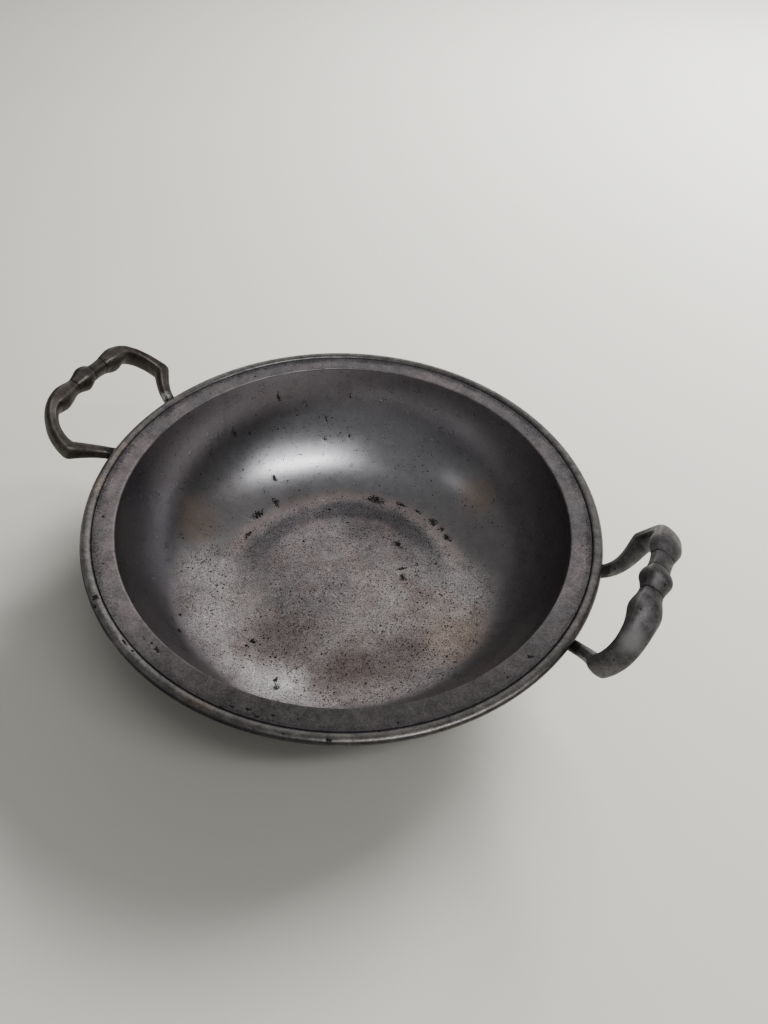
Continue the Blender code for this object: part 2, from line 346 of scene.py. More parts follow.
def inside_pewter():
    """The wall and floor inside: a smooth dark wall, and a paler floor full of fine pits."""
    r = Recipe("pewter_inside")
    radius = r.reach()
    far_side = r.ramp(r.towards(FAR_AZIMUTH), -0.002, 0.034)
    floor = floor_mask(r, radius, far_side)
    cloud = r.noise(16.0, 5.0, 0.6, 4.0)
    mottle = r.noise(150.0, 6.0, 0.7, 9.0)
    grain = r.noise(1450.0, 3.0, 0.65, 2.2)
    colour = r.mix(floor, wall_colour(r, radius, cloud), floor_colour(r, cloud))
    colour = with_painted_arcs(r, colour, radius, far_side)
    colour = r.patches(colour, WARM_PATCHES, rgb(0.36, 0.285, 0.235), 5.0)
    # Painted reflections: pale patches on the floor
    colour = r.patches(colour, PAINTED_REFLECTION_PATCHES, rgb(0.72, 0.69, 0.675), 27.0)
    colour = r.patches(colour, BROWN_STAINS, rgb(0.180, 0.142, 0.138), 7.0)
    for texture, low, high, on_wall, on_floor in (
        (mottle, 0.25, 0.75, 0.09, 0.25),
        (grain, 0.34, 0.66, 0.12, 0.45),
    ):
        contrast = r.ramp(floor, 0.0, 1.0, on_wall, on_floor)
        swing = r.ramp(texture, low, high, -1.0, 1.0)
        colour = r.shade(colour, r.calc("MULTIPLY_ADD", swing, contrast, 1.0))
    pits = inside_pits(r, floor)
    colour = r.cover(colour, pits, 0.93, rgb(0.022, 0.02, 0.022))
    rough = r.calc("SUBTRACT", r.ramp(floor, 0.0, 1.0, 0.285, 0.46), 0.05)
    rough = r.calc("MULTIPLY_ADD", mottle, 0.10, rough)
    rough = r.most(rough, r.times(pits, 0.75))
    relief = r.bump(turned_lines(r, radius), 0.00002, 0.5)
    relief = r.bump(mottle, 0.00022, r.ramp(floor, 0.0, 1.0, 0.08, 0.5), relief)
    relief = r.bump(grain, 0.00006, r.ramp(floor, 0.0, 1.0, 0.1, 0.6), relief)
    relief = r.bump(r.times(pits, -1.0), 0.00035, 0.9, relief)
    return r.finish(colour, rough, relief)


def rim_colour(r, reed, mottle):
    """Grey with warm blotches on the band and a worn reed, both with painted shade on the side
    facing the camera, slightly darker towards the far side, and painted light on the near left.
    """
    blotch = r.noise(30.0, 4.0, 0.6, 2.0)
    # Painted shade: the band and reed darker on the side facing the camera
    front = r.ramp(r.towards(CAMERA_SIDE_AZIMUTH), 0.055, 0.118)
    band = r.mix(r.ramp(blotch, 0.38, 0.62), rgb(0.195, 0.186, 0.188), rgb(0.270, 0.236, 0.236))
    band = r.cover(band, front, 0.85, rgb(0.088, 0.081, 0.080))
    worn = r.mix(mottle, rgb(0.145, 0.140, 0.136), rgb(0.235, 0.220, 0.212))
    worn = r.mix(r.ramp(blotch, 0.55, 0.68), worn, rgb(0.270, 0.222, 0.196))
    worn = r.cover(worn, front, 0.60, rgb(0.090, 0.085, 0.080))
    colour = r.mix(reed, band, worn)
    # Slightly darker towards the far side, and painted light on the near left
    colour = r.shade(colour, r.ramp(r.towards(FAR_AZIMUTH - 40), 0.0, 0.10, 1.0, 0.90))
    return r.shade(colour, r.ramp(r.towards(-145), 0.08, 0.12, 1.0, 1.26))


def rim_dirt_and_shade(r, radius):
    """How dark each place is made: specks crowded by the groove, the groove itself, soot beside it,
    and painted shade in a line round the reed's outer edge."""
    wander = r.noise(42.0, 4.0, 0.6, 14.0)
    past_groove = r.ramp(radius, GROOVE_RADIUS + 0.0002, GROOVE_RADIUS + 0.0010, 1.0, 0.0)
    crowd = r.times(r.ramp(radius, 0.1225, GROOVE_RADIUS, 0.0, 1.0), past_groove)
    crowd = r.times(crowd, r.ramp(wander, 0.3, 0.7, 0.35, 1.1))
    crowd = r.times(crowd, r.ramp(r.towards(CAMERA_SIDE_AZIMUTH), 0.0, 0.10, 1.15, 0.45))
    specks = r.calc("MULTIPLY_ADD", crowd, 0.30, r.noise(1150.0, 3.0, 0.7, 17.0))
    specks = r.times(r.ramp(specks, 0.60, 0.76), 0.70)
    groove = r.ramp(r.off(radius, GROOVE_RADIUS), 0.00015, 0.0004, 1.0, 0.0)
    soot = r.times(r.ramp(radius, 0.1262, GROOVE_RADIUS - 0.0002, 0.0, 0.30), past_groove)
    # Painted shade: a dark line round the reed's outer edge, where it turns down
    painted_edge_shade = r.ramp(radius, RIM_RADIUS - 0.0012, RIM_RADIUS - 0.0003)
    painted_edge_shade = r.times(painted_edge_shade, r.ramp(r.towards(-135), 0.020, 0.110, 0.45, 1.0))
    painted_edge_shade = r.times(painted_edge_shade, r.ramp(wander, 0.25, 0.6, 0.55, 1.0))
    return r.most(specks, groove, soot, painted_edge_shade)


def rim_pewter():
    """The lip, band and reed: matte grey with warm blotches, black speckle by the groove, and
    painted shade on the side facing the camera and round the reed's outer edge.
    """
    r = Recipe("pewter_rim")
    radius = r.reach()
    mottle = r.noise(170.0, 6.0, 0.7, 5.0)
    grain = r.noise(1150.0, 3.0, 0.6, 8.0)
    reed = r.ramp(radius, GROOVE_RADIUS, GROOVE_RADIUS + 0.0006)
    colour = rim_colour(r, reed, mottle)
    colour = r.shade(colour, r.ramp(mottle, 0.28, 0.72, 0.72, 1.24))
    colour = r.shade(colour, r.ramp(grain, 0.32, 0.68, 0.78, 1.20))
    pinholes = r.dots(260.0, 0.16, 0.10, 3.0)
    scars = gouges(r, r.noise(700.0, 3.0, 0.7, 3.3), 0.62, 0.68)
    dark = r.most(rim_dirt_and_shade(r, radius), pinholes, scars)
    colour = r.cover(colour, dark, 0.93, rgb(0.02, 0.02, 0.027))
    rough = r.calc("MULTIPLY_ADD", mottle, 0.16, r.ramp(reed, 0.0, 1.0, 0.42, 0.30))
    rough = r.most(rough, r.times(dark, 0.7))
    relief = r.bump(turned_lines(r, radius), 0.00003, 0.6)
    relief = r.bump(mottle, 0.00016, 0.5, relief)
    relief = r.bump(r.times(dark, -1.0), 0.0002, 0.8, relief)
    return r.finish(colour, rough, relief)


def outside_pewter():
    """The outside and the underside: duller, with turning lines and cloudy tarnish."""
    r = Recipe("pewter_outside")
    cloud = r.noise(18.0, 5.0, 0.62, 21.0)
    mottle = r.noise(110.0, 6.0, 0.7, 25.0)
    grain = r.noise(1000.0, 3.0, 0.6, 28.0)
    colour = r.mix(r.ramp(cloud, 0.35, 0.66), rgb(0.125, 0.121, 0.120), rgb(0.215, 0.205, 0.198))
    colour = r.shade(colour, r.ramp(mottle, 0.25, 0.75, 0.78, 1.18))
    colour = r.shade(colour, r.ramp(grain, 0.2, 0.8, 0.86, 1.12))
    fine = r.dots(520.0, 0.24, r.ramp(cloud, 0.4, 0.7, 0.30, 0.03), 31.0)
    large = r.dots(130.0, 0.09, r.ramp(mottle, 0.45, 0.65, 0.0, 0.08), 34.0, 0.35)
    pits = r.most(fine, large)
    colour = r.cover(colour, pits, 0.9, rgb(0.025, 0.023, 0.025))
    rough = r.calc("MULTIPLY_ADD", mottle, 0.18, r.ramp(cloud, 0.3, 0.7, 0.38, 0.28))
    rough = r.most(rough, r.times(pits, 0.7))
    relief = r.bump(turned_lines(r, r.reach()), 0.00004, 0.7)
    relief = r.bump(mottle, 0.0002, 0.5, relief)
    relief = r.bump(r.times(pits, -1.0), 0.00025, 0.8, relief)
    return r.finish(colour, rough, relief)


def handle_colour(r, mottle):
    """Dark grey, browner and darker on the left handle than on the right one."""
    at_left = r.ramp(r.towards(180), -0.02, 0.02)
    deep = r.mix(at_left, rgb(0.082, 0.079, 0.080), rgb(0.090, 0.078, 0.070))
    pale = r.mix(at_left, rgb(0.150, 0.142, 0.143), rgb(0.158, 0.139, 0.125))
    colour = r.mix(r.ramp(r.noise(60.0, 4.0, 0.6, 41.0), 0.35, 0.65), deep, pale)
    colour = r.shade(colour, r.ramp(r.towards(180), -0.02, 0.02, 1.10, 0.66))
    colour = r.shade(colour, r.ramp(mottle, 0.28, 0.72, 0.66, 1.32))
    return r.shade(colour, r.ramp(r.noise(1500.0, 3.0, 0.6, 48.0), 0.25, 0.75, 0.80, 1.20))


def handle_dirt_and_shade(r, mottle, pits):
    """How dark each place is made: pits, cut lines and nicks, and the arms blackened near the rim,
    partly dark solder stain and partly painted shade under the rim.
    """
    cut = r.ramp(r.calc("MULTIPLY_ADD", mottle, 0.3, r.mark("scar")), 0.30, 0.55)
    for i, (x, y, z, size) in enumerate(HANDLE_NICKS):
        cut = r.most(cut, r.blob((x, y, z), size, seed=81.0 + i))
    # Arms blackened near the rim: partly dark solder stain, partly painted shade under the rim's
    # overhang
    ragged = r.calc("MULTIPLY_ADD", r.noise(420.0, 4.0, 0.7, 53.0), 0.0050, r.reach())
    tarnish = r.ramp(ragged, 0.1410, 0.1420, 1.0, 0.0)
    return r.most(pits, cut, r.times(tarnish, 0.88))


def handle_pewter():
    """The cast handles: worn bright along their edges, dark in their cut lines, with a painted
    highlight on the right one's near arc.
    """
    r = Recipe("pewter_handle")
    mottle = r.noise(260.0, 6.0, 0.7, 45.0)
    worn = r.times(r.mark("wear"), r.ramp(mottle, 0.3, 0.6, 0.35, 1.0))
    colour = r.cover(handle_colour(r, mottle), worn, 0.30, rgb(0.25, 0.24, 0.228))
    pits = r.dots(420.0, 0.20, 0.14, 51.0)
    dark = handle_dirt_and_shade(r, mottle, pits)
    colour = r.cover(colour, dark, 0.9, rgb(0.026, 0.028, 0.027))
    lump = r.times(r.blob(BARE_SOLDER, 0.0042, seed=91.0), r.ramp(mottle, 0.40, 0.52))
    colour = r.mix(lump, colour, rgb(0.55, 0.54, 0.52))
    # Painted highlight: a pale patch on the right handle's near arc
    painted_highlight = r.blob(PAINTED_HIGHLIGHT_ARC, 0.0095, seed=95.0)
    colour = r.cover(colour, painted_highlight, 0.60, rgb(0.38, 0.375, 0.375))
    rough = r.calc("MULTIPLY_ADD", mottle, 0.20, r.ramp(worn, 0.0, 1.0, 0.44, 0.34))
    rough = r.most(rough, r.times(dark, 0.65))
    relief = r.bump(mottle, 0.00014, 0.5)
    relief = r.bump(r.times(pits, -1.0), 0.0002, 0.8, relief)
    return r.finish(colour, rough, relief)


def black_solder():
    """Lumpy solder, blackened and slightly green in its hollows."""
    r = Recipe("black_solder")
    cloud = r.noise(240.0, 5.0, 0.65, 61.0)
    grain = r.noise(1400.0, 3.0, 0.65, 66.0)
    colour = r.mix(r.ramp(cloud, 0.42, 0.62), rgb(0.03, 0.035, 0.034), rgb(0.13, 0.14, 0.13))
    colour = r.shade(colour, r.ramp(grain, 0.2, 0.8, 0.75, 1.2))
    rough = r.ramp(cloud, 0.35, 0.7, 0.60, 0.36)
    relief = r.bump(cloud, 0.0004, 0.7)
    relief = r.bump(grain, 0.00006, 0.6, relief)
    return r.finish(colour, rough, relief)


def table_paint():
    """Plain pale table top."""
    r = Recipe("table_paint")
    cloud = r.noise(3.0, 4.0, 0.55, 71.0)
    colour = r.mix(cloud, rgb(0.372, 0.366, 0.331), rgb(0.402, 0.396, 0.361))
    relief = r.bump(r.noise(260.0, 4.0, 0.6, 74.0), 0.0002, 0.25)
    return r.finish(colour, 0.55, relief, 0.0)


# ---------------------------------------------------------------- bowl

# Patches of brown on the floor and low wall: where, how wide and how strong
BROWN_STAINS = (
    (-0.012, -0.055, 0.003, 0.028, 0.60),
    (0.050, -0.034, 0.004, 0.026, 0.75),
    (0.030, -0.054, 0.003, 0.028, 0.90),
    (-0.058, 0.040, 0.004, 0.016, 0.30),
)

# Warm, tan patches on the floor and low wall: where, how wide and how strong
WARM_PATCHES = (
    (0.072, -0.004, 0.006, 0.030, 0.75),
    (-0.096, -0.012, 0.018, 0.020, 0.70),
    (0.050, 0.088, 0.020, 0.020, 0.60),
)

# The middle of a cluster of fine pits on the far wall
WALL_SPECKS = (-0.058, 0.089, 0.030)

# Pale patches on the floor, painted reflections of the bright room: where, how wide and how strong
PAINTED_REFLECTION_PATCHES = (
    (0.002, -0.083, 0.008, 0.028, 1.00),
    (-0.020, -0.080, 0.008, 0.018, 0.40),
    (-0.050, -0.068, 0.009, 0.020, 0.25),
    (0.034, -0.084, 0.009, 0.018, 0.30),
    (-0.072, -0.034, 0.008, 0.024, 0.25),
    (0.066, 0.026, 0.005, 0.026, 0.25),
    (-0.051, -0.044, 0.003, 0.026, 0.20),
    (0.044, 0.036, 0.003, 0.026, 0.15),
)

# Scars: azimuth in degrees, distance from the axis, half length round the bowl, half width,
# and depth
RIM_SCARS = (
    (-124, 0.1321, 0.0026, 0.0022, 0.0008),
    (-122, 0.1336, 0.0022, 0.0012, 0.0006),
    (-111, 0.1309, 0.0028, 0.0012, 0.0007),
    (-108, 0.1308, 0.0014, 0.0010, 0.0005),
    (-73, 0.1329, 0.0014, 0.0010, 0.0001),
    (-65, 0.1335, 0.0018, 0.0014, 0.0001),
    (-147, 0.1242, 0.0016, 0.0013, 0.0003),
    (-109, 0.1235, 0.0012, 0.0010, 0.0003),
    (-105, 0.1229, 0.0034, 0.0011, 0.0005),
    (-107, 0.1222, 0.0010, 0.0008, 0.0003),
    (-86, 0.1290, 0.0030, 0.0011, 0.0004),
    (-84, 0.1268, 0.0020, 0.0009, 0.0003),
    (-81, 0.1258, 0.0020, 0.0009, 0.0003),
    (-79, 0.1276, 0.0026, 0.0009, 0.0003),
    (-76, 0.1253, 0.0013, 0.0010, 0.0003),
    (-71, 0.1253, 0.0010, 0.0009, 0.0003),
    (-52, 0.1268, 0.0010, 0.0010, 0.0003),
    (-20, 0.1249, 0.0018, 0.0018, 0.0005),
    (-27, 0.1232, 0.0010, 0.0009, 0.0003),
    (146, 0.1222, 0.0016, 0.0009, 0.0003),
)
INSIDE_SCARS = (
    (157, 0.1127, 0.0016, 0.0020, 0.0005),
    (152, 0.1106, 0.0011, 0.0013, 0.0003),
    (125, 0.1098, 0.0012, 0.0018, 0.0003),
    (126, 0.1024, 0.0012, 0.0014, 0.0003),
    (117, 0.1035, 0.0010, 0.0016, 0.0003),
    (140, 0.1165, 0.0014, 0.0010, 0.0004),
    (117, 0.1155, 0.0012, 0.0010, 0.0003),
    (178, 0.0695, 0.0060, 0.0020, 0.0004),
    (165, 0.0750, 0.0070, 0.0036, 0.0003),
    (154, 0.0760, 0.0030, 0.0040, 0.0003),
    (149, 0.0893, 0.0022, 0.0026, 0.0001),
    (102, 0.0695, 0.0100, 0.0040, 0.0004),
    (88, 0.0715, 0.0050, 0.0022, 0.0003),
    (78, 0.0725, 0.0034, 0.0018, 0.0003),
    (68, 0.0725, 0.0046, 0.0034, 0.0006),
    (62, 0.0730, 0.0030, 0.0022, 0.0004),
    (56, 0.0720, 0.0050, 0.0030, 0.0003),
    (33, 0.0347, 0.0040, 0.0030, 0.0004),
    (44, 0.0352, 0.0012, 0.0050, 0.0003),
    (70, 0.0440, 0.0060, 0.0030, 0.0002),
    (-112, 0.0660, 0.0040, 0.0022, 0.0002),
    (-88, 0.0813, 0.0030, 0.0036, 0.0006),
    (-90, 0.0760, 0.0022, 0.0036, 0.0003),
    (-98, 0.0640, 0.0018, 0.0014, 0.0003),
    (-131, 0.0957, 0.0020, 0.0014, 0.0003),
    (-124, 0.0990, 0.0026, 0.0012, 0.0003),
)


def arc(centre, half_width, half_height, start, end, count):
    """Points of an ellipse's arc between two angles in degrees, both ends included."""
    angles = np.radians(np.linspace(start, end, count))
    x = centre[0] + half_width * np.cos(angles)
    z = centre[1] + half_height * np.sin(angles)
    return np.column_stack([x, z])


def wall_curve(offset, start, end, count):
    """The inside wall's quarter ellipse, or one this far outside it."""
    half_width = LIP_RADIUS - TROUGH_RADIUS + offset
    half_height = RIM_HEIGHT - FLOOR_THICKNESS + offset
    return arc((TROUGH_RADIUS, RIM_HEIGHT), half_width, half_height, start, end, count)


def outer_wall_radius(height):
    """How far from the axis the outside of the wall is at a height."""
    half_width = LIP_RADIUS - TROUGH_RADIUS + WALL_THICKNESS
    half_height = RIM_HEIGHT - FLOOR_THICKNESS + WALL_THICKNESS
    depth = (RIM_HEIGHT - height) / half_height
    return TROUGH_RADIUS + half_width * math.sqrt(1 - depth**2)


def inside_profile():
    """The domed floor and the wall, from the axis to the lip."""
    radius = np.linspace(0.0, TROUGH_RADIUS, 46)[:-1]
    rise = FLOOR_DOME * 0.5 * (1 + np.cos(np.pi * radius / TROUGH_RADIUS))
    floor = np.column_stack([radius, FLOOR_THICKNESS + rise])
    return np.vstack([floor, wall_curve(0.0, -90, -1, 84)])


def rim_profile():
    """Lip, band, scribed groove, reed, and the underside of the rim."""
    lip_centre = (LIP_RADIUS + LIP_ROUNDING, RIM_HEIGHT - LIP_ROUNDING)
    lip = arc(lip_centre, LIP_ROUNDING, LIP_ROUNDING, 180, 90, 9)
    band_end = GROOVE_RADIUS - GROOVE_HALF_WIDTH
    band_radius = np.linspace(lip_centre[0], band_end, 22)[1:]
    band = np.column_stack([band_radius, np.full(len(band_radius), RIM_HEIGHT)])
    groove_top = (GROOVE_RADIUS - 0.0001, RIM_HEIGHT - GROOVE_DEPTH * 0.85)
    groove_bottom = (GROOVE_RADIUS + 0.0001, RIM_HEIGHT - GROOVE_DEPTH)
    centre = (RIM_RADIUS - REED_HALF_WIDTH, RIM_HEIGHT + REED_RISE - REED_HALF_HEIGHT)
    reed = arc(centre, REED_HALF_WIDTH, REED_HALF_HEIGHT, 168, -80, 34)
    underside = RIM_HEIGHT - RIM_THICKNESS
    start = reed[-1]
    end = np.array([outer_wall_radius(underside) + RIM_FILLET, underside])
    under = [start + (end - start) * part for part in (0.25, 0.5, 0.75, 1.0)]
    return np.vstack([lip, band, groove_top, groove_bottom, reed, under])


def outside_profile():
    """The outside of the wall and the flat base, from under the rim to the axis."""
    wall = wall_curve(WALL_THICKNESS, -3, -86, 60)
    disc = np.linspace(BASE_RADIUS, 0.0, 14)
    return np.vstack([wall, np.column_stack([disc, np.zeros(len(disc))])])


def turned_grid(profile, steps):
    """Points of a turned profile, as an array of (profile point, step, xyz)."""
    angle = np.linspace(0.0, 2 * np.pi, steps, endpoint=False)
    grid = np.empty((len(profile), steps, 3))
    grid[..., 0] = profile[:, 0, None] * np.cos(angle)
    grid[..., 1] = profile[:, 0, None] * np.sin(angle)
    grid[..., 2] = profile[:, 1, None]
    return grid


def slow_waves(grid, size, seed):
    """A smooth random field over the grid, from a few crossing waves."""
    rng = np.random.default_rng(seed)
    field = np.zeros(grid.shape[:2])
    for _ in range(WAVE_COUNT):
        direction = rng.normal(size=3)
        direction /= np.linalg.norm(direction)
        length = size * rng.uniform(0.6, 1.6)
        field += np.cos(grid @ direction * (2 * np.pi / length) + rng.uniform(0, 2 * np.pi))
    return field / WAVE_SPAN


def scar_field(grid, scars):
    """How deep in a scar each point is, 1 in its middle, and how far to push it down."""
    angle = np.arctan2(grid[..., 1], grid[..., 0])
    radius = np.hypot(grid[..., 0], grid[..., 1])
    depth = np.zeros(grid.shape[:2])
    mark = np.zeros(grid.shape[:2])
    for azimuth, place, half_length, half_width, deep in scars:
        turn = np.angle(np.exp(1j * (angle - math.radians(azimuth))))
        across = turn * place / half_length
        out = (radius - place) / half_width
        far = np.sqrt(across**2 + out**2)
        inside = np.clip(1 - far, 0.0, 1.0)
        mark = np.maximum(mark, inside)
        depth = np.maximum(depth, deep * np.clip(1 - far**2, 0.0, 1.0) ** 2)
    return mark, depth


def turned_mesh(name, grid, zones):
    """A mesh from a turned grid whose first and last rings are points on the axis. Zones gives
    each ring of faces its material."""
    rings, steps = grid.shape[:2]
    faces = []
    materials = []
    for i in range(rings - 1):
        low, high = i * steps, (i + 1) * steps
        for k in range(steps):
            following = (k + 1) % steps
            if i == 0:
                faces.append((low, high + following, high + k))
            elif i == rings - 2:
                faces.append((low + k, low + following, high))
            else:
                faces.append((low + k, low + following, high + following, high + k))
        materials += [zones[i]] * steps
    mesh = bpy.data.meshes.new(name)
    mesh.from_pydata(grid.reshape(-1, 3).tolist(), [], faces)
    mesh.polygons.foreach_set("material_index", materials)
    return mesh


def scar_inside(part):
    """Presses the inside's scars down into the floor and out into the wall. Returns how deep in a
    scar each point is."""
    mark, depth = scar_field(part, INSIDE_SCARS)
    radius = np.hypot(part[..., 0], part[..., 1])
    steep = np.clip((radius - TROUGH_RADIUS) / (LIP_RADIUS - TROUGH_RADIUS), 0, 1)
    outward = steep[..., None] * part[..., :2] / np.maximum(radius, 1e-6)[..., None]
    part[..., :2] += outward * depth[..., None]
    part[..., 2] -= depth * (1 - steep)
    return mark


def scar_rim(part):
    """Presses the rim's scars down into its top. Returns how deep in a scar each point is."""
    mark, depth = scar_field(part, RIM_SCARS)
    top = part[..., 2] > RIM_HEIGHT - RIM_TOP_DEPTH
    part[..., 2] -= depth * top
    return mark * top


def make_bowl():
    profiles = (inside_profile(), rim_profile(), outside_profile())
    profile = np.vstack(profiles)
    zones = np.repeat([0, 1, 2], [len(part) for part in profiles])
    grid = turned_grid(profile, BOWL_STEPS)
    height = WAVE_DEPTH * slow_waves(grid, WAVE_LENGTH, WAVE_SEED)
    share = np.array([1.0, RIM_WAVE, 0.0])[zones][:, None]
    near_lip = np.clip(1 - np.abs(profile[:, 0] - LIP_RADIUS) / LIP_CALM, 0, 1)[:, None]
    grid[..., 2] += share * height * (1 - near_lip)
    mark = np.zeros(grid.shape[:2])
    rim_start = len(profiles[0])
    rim_end = rim_start + len(profiles[1])
    mark[:rim_start] = scar_inside(grid[:rim_start])
    mark[rim_start:rim_end] = scar_rim(grid[rim_start:rim_end])
    mesh = turned_mesh("bowl_pewter_shell", grid, zones.tolist())
    scar = mesh.attributes.new("scar", "FLOAT", "POINT")
    scar.data.foreach_set("value", mark.astype(np.float32).ravel())
    for material in (inside_pewter(), rim_pewter(), outside_pewter()):
        mesh.materials.append(material)
    return add_piece("bowl_shell", mesh, "bowl")


def clean(mesh):
    """Drops unused points, and turns the faces outward."""
    shape = bmesh.new()
    shape.from_mesh(mesh)
    loose = [v for v in shape.verts if not v.link_faces]
    bmesh.ops.delete(shape, geom=loose, context="VERTS")
    bmesh.ops.recalc_face_normals(shape, faces=shape.faces)
    shape.to_mesh(mesh)
    shape.free()


def add_piece(name, mesh, node, sharp=38):
    """A finished piece: it rides on the object's one body and stands for its CAD node. Edges
    sharper than this many degrees stay crisp."""
    clean(mesh)
    mesh.shade_smooth()
    mesh.set_sharp_from_angle(angle=math.radians(sharp))
    piece = bpy.data.objects.new(name, mesh)
    bpy.context.scene.collection.objects.link(piece)
    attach(piece, "root")
    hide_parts(node)
    return piece


# ---------------------------------------------------------------- handles

# Stations of half the loop, from an elbow round the arc: place along the tilt and across,
# then half width inward, half width outward and half height off the plane
ARC_STATIONS = (
    (0.0165, 0.0403, 0.0043, 0.0043, 0.0055),  # elbow
    (0.0213, 0.0399, 0.0038, 0.0037, 0.0057),
    (0.0272, 0.0382, 0.0035, 0.0035, 0.0059),
    (0.0325, 0.0352, 0.0034, 0.0034, 0.0061),
    (0.0368, 0.0309, 0.0037, 0.0038, 0.0064),
    (0.0388, 0.0268, 0.0046, 0.0044, 0.0069),
)
# The grip, from the far arc to the near one. The middle knop lies off the middle.
GRIP_STATIONS = (
    (0.0395, 0.0220, 0.0060, 0.0053, 0.0075),  # far knop
    (0.0397, 0.0190, 0.0058, 0.0054, 0.0073),
    (0.0399, 0.0155, 0.0047, 0.0048, 0.0063),
    (0.0400, 0.0122, 0.0041, 0.0041, 0.0054),  # far neck
    (0.0401, 0.0075, 0.0039, 0.0039, 0.0052),
    (0.0402, 0.0038, 0.0042, 0.0042, 0.0055),
    (0.0404, 0.0010, 0.0056, 0.0055, 0.0067),
    (0.0405, -0.0022, 0.0063, 0.0061, 0.0072),  # middle knop
    (0.0404, -0.0056, 0.0052, 0.0051, 0.0063),
    (0.0402, -0.0092, 0.0042, 0.0042, 0.0054),  # near neck
    (0.0400, -0.0128, 0.0044, 0.0044, 0.0057),
    (0.0398, -0.0162, 0.0053, 0.0051, 0.0067),
    (0.0396, -0.0200, 0.0060, 0.0054, 0.0075),  # near knop
    (0.0394, -0.0232, 0.0056, 0.0051, 0.0074),
)
CUT_LINES = (0.0128, 0.0042, 0.0030, -0.0098)  # where across the incised lines lie
CUT_HALF_WIDTH = 0.00040
CUT_DEPTH = 0.07

# Dark nicks in the castings, each a place and a size, and a bare lump of solder on an arm
HANDLE_NICKS = (
    (0.1590, -0.0056, 0.1061, 0.0010),
    (0.1545, -0.0100, 0.1066, 0.0010),
    (-0.1627, -0.0265, 0.0894, 0.0024),
)
BARE_SOLDER = (-0.1386, 0.0273, 0.0672)
PAINTED_HIGHLIGHT_ARC = (0.1535, -0.0362, 0.1000)  # where a pale patch paints a highlight on the right handle's near arc

# A quarter of a section, from its side to the edge of the flat top
SECTION_SIDE = ((1.0, 0.0), (0.985, 0.22), (0.95, 0.42), (0.88, 0.61), (0.78, 0.78), (0.63, 0.90))
FACET_EDGE = (0.46, 1.0)


def section_outline():
    """One whole section, once round, with crisp edges beside the flat top and bottom.
    Each point is (x, y, how worn it is)."""
    quarter = [(x, y, 0.0) for x, y in SECTION_SIDE]
    edge_x, edge_y = FACET_EDGE
    edge = [(edge_x + 0.05, edge_y - 0.028, 1.0), (edge_x - 0.05, edge_y, 1.0)]
    top = [(0.2, 1.0, 0.0)]
    right = quarter + edge + top
    upper = right + [(-x, y, w) for x, y, w in reversed(right)]
    lower = [(x, -y, w) for x, y, w in reversed(upper[1:-1])]
    return upper + lower


def catmull_rom(before, start, end, after, part):
    before, start, end, after = map(np.array, (before, start, end, after))
    linear = (end - before) * part
    square = (2 * before - 5 * start + 4 * end - after) * part**2
    cube = (3 * start - before - 3 * end + after) * part**3
    return start + 0.5 * (linear + square + cube)


def tilted_plane(tilt):
    along = Vector((math.cos(tilt), 0.0, math.sin(tilt)))
    across = Vector((0.0, 1.0, 0.0))
    return along, across, along.cross(across)


def loop_point(tilt, x, y):
    along, across, normal = tilted_plane(tilt)
    part = x / LOOP_LENGTH
    return LOOP_START + along * x + across * y - normal * (LOOP_SAG * 4 * part * (1 - part))


def arm_stations(tilt, root_angle):
    """One arm, from its end under the rim to the elbow: (centre, half sizes)."""
    along, across, _ = tilted_plane(tilt)
    side = math.copysign(1.0, root_angle)
    outward = Vector((math.cos(root_angle), math.sin(root_angle), 0.0))
    end = outward * ROOT_RADIUS + Vector((0.0, 0.0, RIM_HEIGHT - ROOT_DEPTH))
    root = end + outward * ROOT_STUB
    elbow_x, elbow_y, *elbow_size = ARC_STATIONS[0]
    elbow = loop_point(tilt, elbow_x, elbow_y * side)
    start_pull = root + outward * ROOT_REACH
    end_pull = elbow - along * ELBOW_PULL - across * ELBOW_PULL * side
    stations = [(end - outward * ROOT_CAP, ROOT_HALF_SIZE), (end, ROOT_HALF_SIZE)]
    for i in range(ARM_SAMPLES):
        t = i / ARM_SAMPLES
        u = 1 - t
        pulls = start_pull * 3 * u * u * t + end_pull * 3 * u * t * t
        centre = root * u**3 + pulls + elbow * t**3
        size = [a + (b - a) * t**2 for a, b in zip(ROOT_HALF_SIZE, elbow_size)]
        stations.append((centre, size))
    return stations


def loop_stations(tilt, far_side):
    """The whole loop from the far elbow to the near one: (centre, half sizes, cut)."""
    near_arc = [(x, -y, *size) for x, y, *size in reversed(ARC_STATIONS)]
    guides = [*ARC_STATIONS, *GRIP_STATIONS, *near_arc]
    guides = [guides[0], *guides, guides[-1]]
    stations = []
    for i in range(1, len(guides) - 2):
        for k in range(LOOP_SAMPLES):
            x, y, *size = catmull_rom(*guides[i - 1 : i + 3], k / LOOP_SAMPLES)
            stations.append((loop_point(tilt, x, y * far_side), size, cut_at(y)))
    x, y, *size = guides[-1]
    stations.append((loop_point(tilt, x, y * far_side), size, 0.0))
    return stations


def cut_at(across):
    """How deep in an incised line a place on the grip is, from 0 to 1."""
    return max(0.0, *(1 - abs(across - line) / CUT_HALF_WIDTH for line in CUT_LINES))


def handle_stations(tilt, near_angle, far_angle):
    """Every station from the far arm's end to the near one's: (centre, size, cut)."""
    first = [(c, size, 0.0) for c, size in arm_stations(tilt, far_angle)]
    last = [(c, size, 0.0) for c, size in reversed(arm_stations(tilt, near_angle))]
    return first + loop_stations(tilt, math.copysign(1.0, far_angle))[:-1] + last


